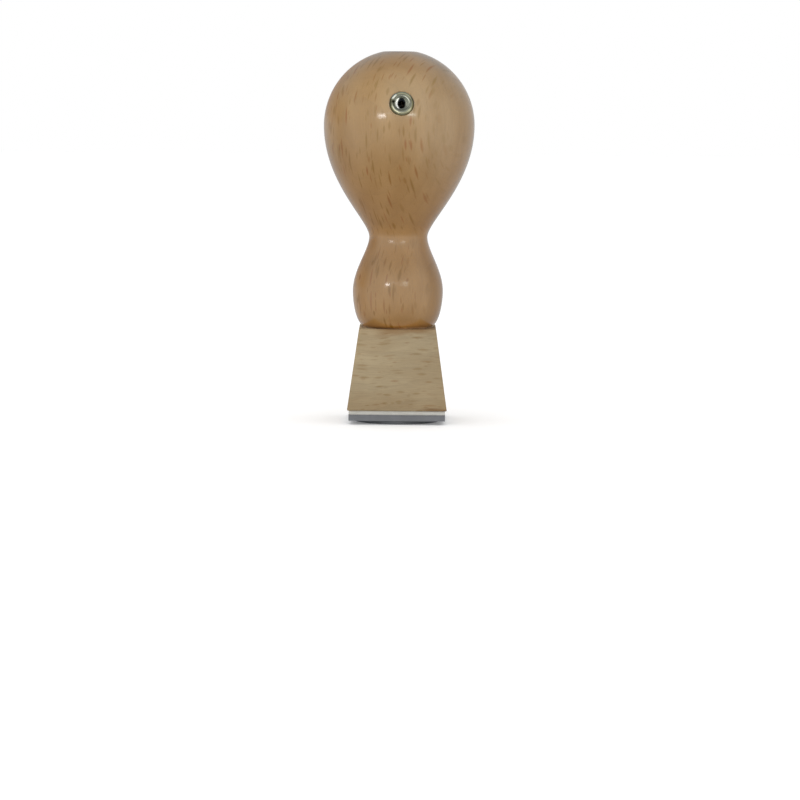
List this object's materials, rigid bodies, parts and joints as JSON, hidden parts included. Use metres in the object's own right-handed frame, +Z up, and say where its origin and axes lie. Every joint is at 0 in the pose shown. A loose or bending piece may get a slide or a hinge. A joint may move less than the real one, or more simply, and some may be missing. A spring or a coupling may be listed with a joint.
{
  "type": "hand stamp",
  "caption": "Wooden hand stamp: turned, lacquered knob handle on a tapered raw wood block, with a foam layer, a rubber relief die and a metal eyelet that marks the front.",
  "frame": {"origin": "centre of the die's printing face, on the paper", "axes": "+Z up through the handle, -Y towards the front that the eyelet marks, +X to the right as seen from the front"},
  "size_m": [0.0356, 0.0359, 0.0873],
  "materials": {
    "lacquered_beech": "turned beech under clear gloss lacquer",
    "nickel_plate": "bright nickel plate on a drawn eyelet",
    "zinc_plated_steel": "bright zinc plate",
    "raw_beech": "sawn and sanded beech with no finish",
    "white_foam": "fine closed-cell foam, off-white",
    "grey_rubber": "laser-engraved grey stamp rubber"
  },
  "bodies": {
    "root": {"turned_handle": "lacquered_beech", "front_marker_eyelet": "nickel_plate", "joint_screw": "zinc_plated_steel", "mount_block": "raw_beech", "foam_layer": "white_foam", "rubber_die": "grey_rubber"}
  },
  "joints": []
}
